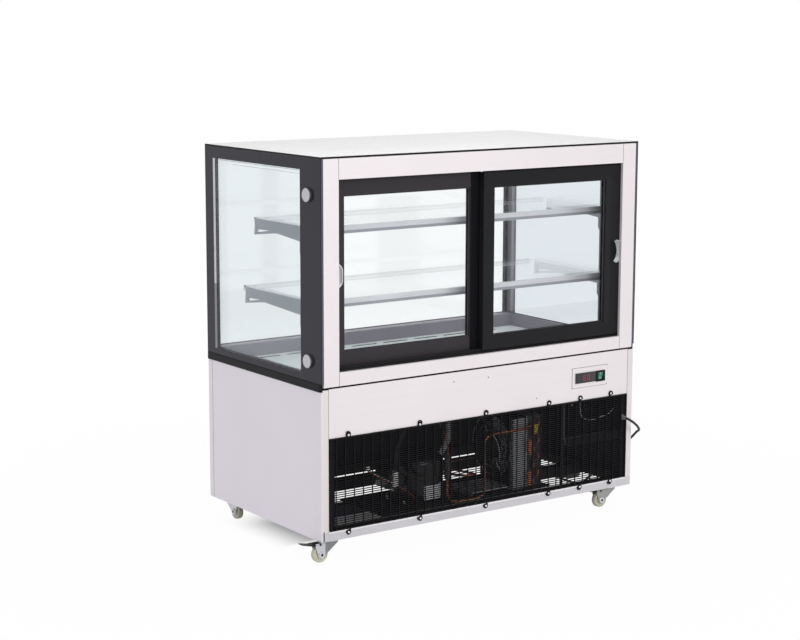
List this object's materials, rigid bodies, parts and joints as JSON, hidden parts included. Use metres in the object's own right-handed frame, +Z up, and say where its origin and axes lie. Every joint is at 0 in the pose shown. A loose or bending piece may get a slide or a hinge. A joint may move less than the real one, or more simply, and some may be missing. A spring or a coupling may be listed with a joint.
{
  "type": "bakery display case",
  "caption": "Refrigerated bakery display case on casters, with lit glass shelves, sliding rear glass doors and a condensing unit behind wire grilles.",
  "frame": {"origin": "on the floor under the middle of the bounding box, measured without the cord, which is 20 mm left of the cabinet's middle because the rear left brake pedal reaches past the case", "axes": "+Z up; -Y towards the staff side with the sliding doors; +X to the right of someone who faces the doors"},
  "size_m": [1.3858, 0.6946, 1.19],
  "materials": {
    "stainless": "brushed stainless sheet, pale with a faint pink cast",
    "galvanised": "galvanised sheet",
    "black_steel": "black coated steel",
    "black_profile": "satin black coated aluminium profile",
    "compressor_black": "gloss black paint",
    "post_steel": "dark blue-grey coated steel",
    "shelf_steel": "blue-grey coated steel",
    "fork_zinc": "bright zinc plate",
    "pull_metal": "satin chrome plate",
    "clear_glass": "clear glass with a faint green-grey edge",
    "copper": "bare copper tube",
    "fins": "plain aluminium fins",
    "rubber": "matt black flexible sheath",
    "tub_foam": "foam-filled tub with pale skins",
    "thermostat_black": "satin black plastic",
    "pedal_black": "matt black plastic",
    "plug_black": "matt black moulded plastic",
    "wheel_nylon": "off-white nylon",
    "gland_grey": "pale grey plastic",
    "rocker_green": "glossy green translucent plastic"
  },
  "bodies": {
    "case": {"base_frame": "black_steel", "corner_post_rear_left": "stainless", "corner_post_rear_right": "stainless", "side_panel_left": "stainless", "side_panel_right": "stainless", "front_panel": "stainless", "rear_sill": "stainless", "rear_upper_panel": "stainless", "grille_left": "black_steel", "grille_right": "black_steel", "control_plate": "stainless", "thermostat": "thermostat_black", "platform_moulding": "black_profile", "glass_side_left": "clear_glass", "glass_side_right": "clear_glass", "glass_front": "clear_glass", "glass_top": "clear_glass", "inner_pane_left": "clear_glass", "inner_pane_right": "clear_glass", "inner_pane_front": "clear_glass", "rear_frame": "stainless", "door_track": "black_profile", "insulated_tub": "tub_foam", "evaporator_coil": "fins", "display_deck": "stainless", "inner_skirt": "black_profile", "shelf_post_left": "post_steel", "shelf_post_right": "post_steel", "shelf_frame_lower": "shelf_steel", "shelf_frame_upper": "shelf_steel", "shelf_glass_lower": "clear_glass", "shelf_glass_upper": "clear_glass", "unit_base_plate": "galvanised", "compressor": "compressor_black", "condenser_coil": "fins", "fan_shroud": "black_steel", "liquid_line": "copper", "suction_line": "rubber", "cord_gland": "gland_grey", "cord_coil": "rubber", "cord_free": "rubber", "cord_plug": "plug_black"},
    "door_left": {"door_frame_left": "black_profile", "door_glass_left": "clear_glass", "door_pull_left": "pull_metal"},
    "door_right": {"door_frame_right": "black_profile", "door_glass_right": "clear_glass", "door_pull_right": "pull_metal"},
    "rocker": {"switch_rocker": "rocker_green"},
    "fan": {"condenser_fan": "galvanised"},
    "caster_rear_left": {"caster_fork_rear_left": "fork_zinc"},
    "wheel_rear_left": {"caster_wheel_rear_left": "wheel_nylon"},
    "pedal_rear_left": {"brake_pedal_rear_left": "pedal_black"},
    "caster_rear_right": {"caster_fork_rear_right": "fork_zinc"},
    "wheel_rear_right": {"caster_wheel_rear_right": "wheel_nylon"},
    "pedal_rear_right": {"brake_pedal_rear_right": "pedal_black"},
    "caster_front_left": {"caster_fork_front_left": "fork_zinc"},
    "wheel_front_left": {"caster_wheel_front_left": "wheel_nylon"},
    "caster_front_right": {"caster_fork_front_right": "fork_zinc"},
    "wheel_front_right": {"caster_wheel_front_right": "wheel_nylon"}
  },
  "joints": [
    {"name": "door_left_slide", "type": "slide", "parent": "case", "child": "door_left", "axis": [1, 0, 0], "range_m": [0, 0.558]},
    {"name": "door_right_slide", "type": "slide", "parent": "case", "child": "door_right", "axis": [1, 0, 0], "range_m": [-0.558, 0]},
    {"name": "rocker_tip", "type": "hinge", "parent": "case", "child": "rocker", "pos_m": [0.478, -0.328, 0.4475], "axis": [1, 0, 0], "range_deg": [-20, 0]},
    {"name": "fan_spin", "type": "hinge", "parent": "case", "child": "fan", "pos_m": [0.2007, -0.165, 0.228], "axis": [1, 0, 0], "continuous": true},
    {"name": "swivel_rear_left", "type": "hinge", "parent": "case", "child": "caster_rear_left", "pos_m": [-0.522, -0.29, 0.06], "axis": [0, 0, 1], "continuous": true},
    {"name": "roll_rear_left", "type": "hinge", "parent": "caster_rear_left", "child": "wheel_rear_left", "pos_m": [-0.564, -0.29, 0.025], "axis": [0, 1, 0], "continuous": true},
    {"name": "brake_rear_left", "type": "hinge", "parent": "caster_rear_left", "child": "pedal_rear_left", "pos_m": [-0.576, -0.29, 0.055], "axis": [0, -1, 0], "range_deg": [0, 12]},
    {"name": "swivel_rear_right", "type": "hinge", "parent": "case", "child": "caster_rear_right", "pos_m": [0.562, -0.29, 0.06], "axis": [0, 0, 1], "continuous": true},
    {"name": "roll_rear_right", "type": "hinge", "parent": "caster_rear_right", "child": "wheel_rear_right", "pos_m": [0.52, -0.29, 0.025], "axis": [0, 1, 0], "continuous": true},
    {"name": "brake_rear_right", "type": "hinge", "parent": "caster_rear_right", "child": "pedal_rear_right", "pos_m": [0.508, -0.29, 0.055], "axis": [0, -1, 0], "range_deg": [0, 12]},
    {"name": "swivel_front_left", "type": "hinge", "parent": "case", "child": "caster_front_left", "pos_m": [-0.522, 0.3, 0.06], "axis": [0, 0, 1], "continuous": true},
    {"name": "roll_front_left", "type": "hinge", "parent": "caster_front_left", "child": "wheel_front_left", "pos_m": [-0.522, 0.258, 0.025], "axis": [1, 0, 0], "continuous": true},
    {"name": "swivel_front_right", "type": "hinge", "parent": "case", "child": "caster_front_right", "pos_m": [0.562, 0.3, 0.06], "axis": [0, 0, 1], "continuous": true},
    {"name": "roll_front_right", "type": "hinge", "parent": "caster_front_right", "child": "wheel_front_right", "pos_m": [0.562, 0.258, 0.025], "axis": [1, 0, 0], "continuous": true}
  ]
}
